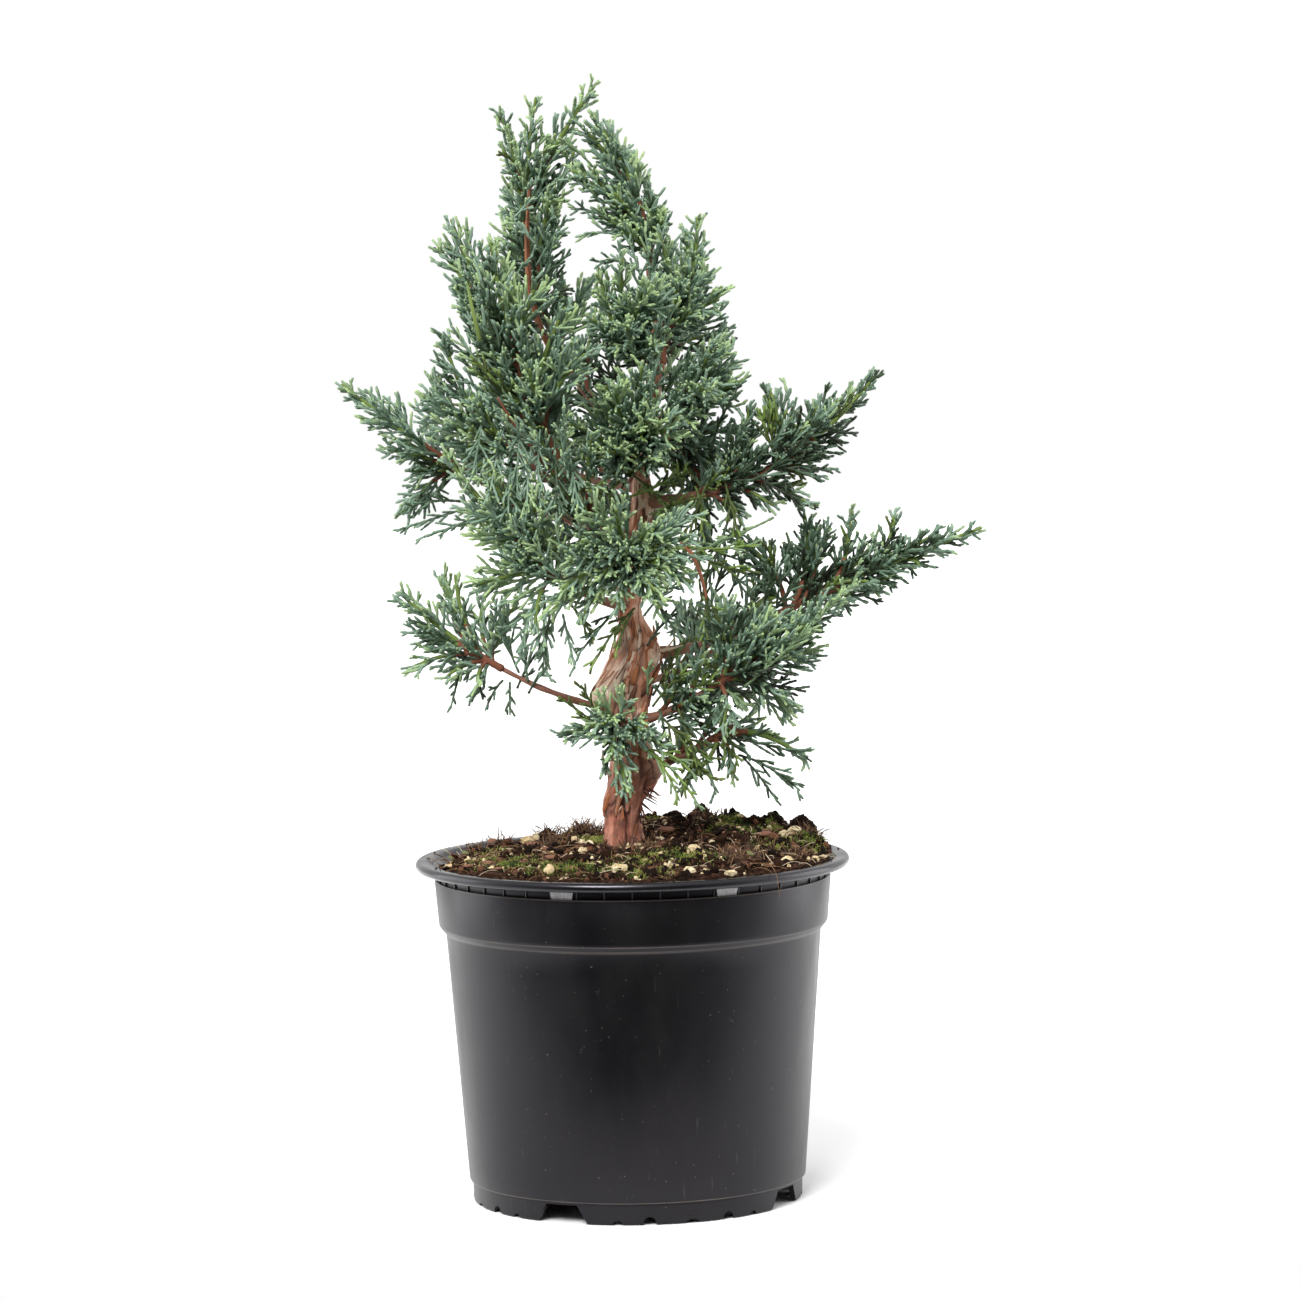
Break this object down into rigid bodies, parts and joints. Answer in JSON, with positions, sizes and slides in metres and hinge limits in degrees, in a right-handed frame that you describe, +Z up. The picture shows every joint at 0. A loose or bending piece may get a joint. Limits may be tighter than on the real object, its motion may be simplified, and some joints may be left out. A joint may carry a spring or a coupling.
{
  "type": "potted juniper",
  "caption": "Young scale-leaved juniper with a twisted trunk, pruned open into upswept sprays, in a round black plastic nursery pot filled with soil",
  "frame": {"origin": "middle of the pot's flat underside", "axes": "+Z up along the plant; +X to the right of the front view; +Y away from the front"},
  "size_m": [0.2822, 0.19, 0.487],
  "materials": {
    "pot": "black moulded polypropylene, satin, dusty",
    "soil": "moist peat with bark, moss and pumice grains",
    "bark": "fibrous red-brown bark, peeling in strips",
    "foliage": "blue-green scale leaves"
  },
  "bodies": {
    "root": {"pot": "pot", "soil": "soil", "trunk": "bark", "bough_back": "bark", "bough_back_high": "bark", "bough_back_left": "bark", "bough_back_low": "bark", "bough_front": "bark", "bough_front_right": "bark", "bough_leader": "bark", "bough_left": "bark", "bough_left_low": "bark", "bough_left_outer": "bark", "bough_left_side": "bark", "bough_right_hanging": "bark", "bough_right_high": "bark", "bough_right_long": "bark", "bough_right_low": "bark", "foliage_back": "foliage", "foliage_back_high": "foliage", "foliage_back_left": "foliage", "foliage_back_low": "foliage", "foliage_centre_crown": "foliage", "foliage_foot": "foliage", "foliage_front": "foliage", "foliage_front_left": "foliage", "foliage_front_shoulder": "foliage", "foliage_inner_right": "foliage", "foliage_left_crown": "foliage", "foliage_left_low": "foliage", "foliage_left_outer": "foliage", "foliage_left_side": "foliage", "foliage_right_crown": "foliage", "foliage_right_hanging": "foliage", "foliage_right_high": "foliage", "foliage_right_long": "foliage", "foliage_right_low": "foliage", "foliage_right_shoulder": "foliage", "foliage_top_left": "foliage", "foliage_top_right": "foliage"}
  },
  "joints": []
}
